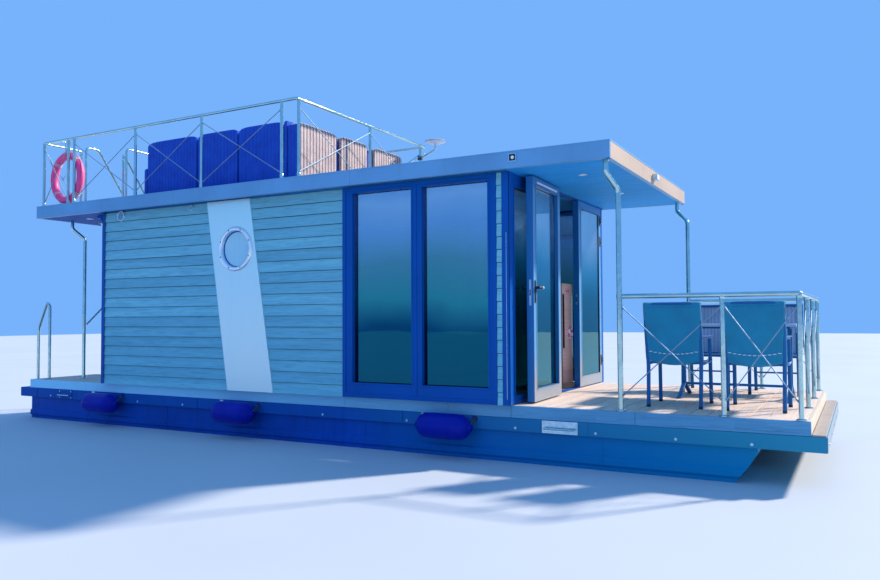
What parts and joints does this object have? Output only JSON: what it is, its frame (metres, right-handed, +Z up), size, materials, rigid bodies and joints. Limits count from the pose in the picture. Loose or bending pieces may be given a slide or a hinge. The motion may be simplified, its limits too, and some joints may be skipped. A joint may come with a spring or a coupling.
{
  "type": "houseboat",
  "caption": "Twin-hulled houseboat with a clapboard cabin, glazed doors, a railed roof terrace reached by a stair, a bow terrace with table and chairs, and an outboard.",
  "frame": {"origin": "under the middle of the boat at the level of the flat hull bottoms", "axes": "+X to the bow, +Y to port, +Z up"},
  "size_m": [10.59, 3.4806, 4.394],
  "materials": {
    "hull": "gloss",
    "frame": "satin",
    "deck": "matt",
    "cladding": "satin paint",
    "trim": "satin",
    "roof": "satin",
    "panel": "brushed",
    "steel": "polished",
    "glass": "clear",
    "ring": "satin",
    "fender": "satin",
    "rattan": "woven",
    "wood": "varnished",
    "dark": "satin",
    "white": "gloss",
    "plate": "satin"
  },
  "bodies": {
    "boat": {"antenna": "white", "bow_frame": "trim", "bow_pane": "glass", "bow_rail_front": "steel", "bow_rail_port": "steel", "bow_rail_starboard": "steel", "chair_aft_port": "dark", "chair_aft_starboard": "dark", "chair_bow_port": "dark", "chair_bow_starboard": "dark", "deck": "deck", "deck_frame": "frame", "fender_aft_port": "fender", "fender_aft_starboard": "fender", "fender_bow_port": "fender", "fender_bow_starboard": "fender", "fender_mid_port": "fender", "fender_mid_starboard": "fender", "hatch_guard": "steel", "helm_console": "wood", "hull_port": "hull", "hull_starboard": "hull", "interior": "wood", "life_ring": "ring", "lounge_bow": "rattan", "lounge_starboard": "rattan", "panel_port": "panel", "panel_starboard": "panel", "pole_bow_port": "steel", "pole_bow_starboard": "steel", "pole_stern_port": "steel", "pole_stern_starboard": "steel", "porthole_port": "steel", "porthole_starboard": "steel", "roof": "roof", "roof_stair": "steel", "stair_rail_aft": "steel", "stair_rail_bow": "steel", "swim_ladder": "steel", "table": "dark", "terrace_rail_bow": "steel", "terrace_rail_port": "steel", "terrace_rail_starboard": "steel", "wall_aft": "cladding", "wall_port": "cladding", "wall_starboard": "cladding", "window_frame_port": "trim", "window_frame_starboard": "trim", "window_glass_port": "glass", "window_glass_starboard": "glass"},
    "bow_door_starboard": {"bow_door_starboard": "trim", "bow_door_starboard_glass": "glass"},
    "bow_door_port": {"bow_door_port": "trim", "bow_door_port_glass": "glass"},
    "aft_door": {"aft_door": "trim"},
    "outboard": {"outboard": "dark"},
    "propeller": {"propeller": "plate"},
    "wheel": {"steering_wheel": "dark"}
  },
  "joints": [
    {"name": "bow_door_starboard_hinge", "type": "hinge", "parent": "boat", "child": "bow_door_starboard", "pos_m": [2.565, -0.364, 2], "axis": [0, 0, 1], "range_deg": [0, 177.5]},
    {"name": "bow_door_port_hinge", "type": "hinge", "parent": "boat", "child": "bow_door_port", "pos_m": [2.565, 1.454, 2], "axis": [0, 0, 1], "range_deg": [0, 95]},
    {"name": "aft_door_hinge", "type": "hinge", "parent": "boat", "child": "aft_door", "pos_m": [-3.335, -1.236, 1.9], "axis": [0, 0, -1], "range_deg": [0, 90]},
    {"name": "motor_steer", "type": "hinge", "parent": "boat", "child": "outboard", "pos_m": [-4.87, 0, 0.57], "axis": [0, 0, 1], "range_deg": [-35, 35]},
    {"name": "propeller_spin", "type": "hinge", "parent": "outboard", "child": "propeller", "pos_m": [-5.24, 0, 0.17], "axis": [1, 0, 0], "continuous": true},
    {"name": "wheel_spin", "type": "hinge", "parent": "boat", "child": "wheel", "pos_m": [1.69, 1.235, 1.8], "axis": [1, 0, 0], "range_deg": [-540, 540]}
  ],
  "couplings": [
    {"joint": "wheel_spin", "follows": "motor_steer", "ratio": 15.4}
  ]
}
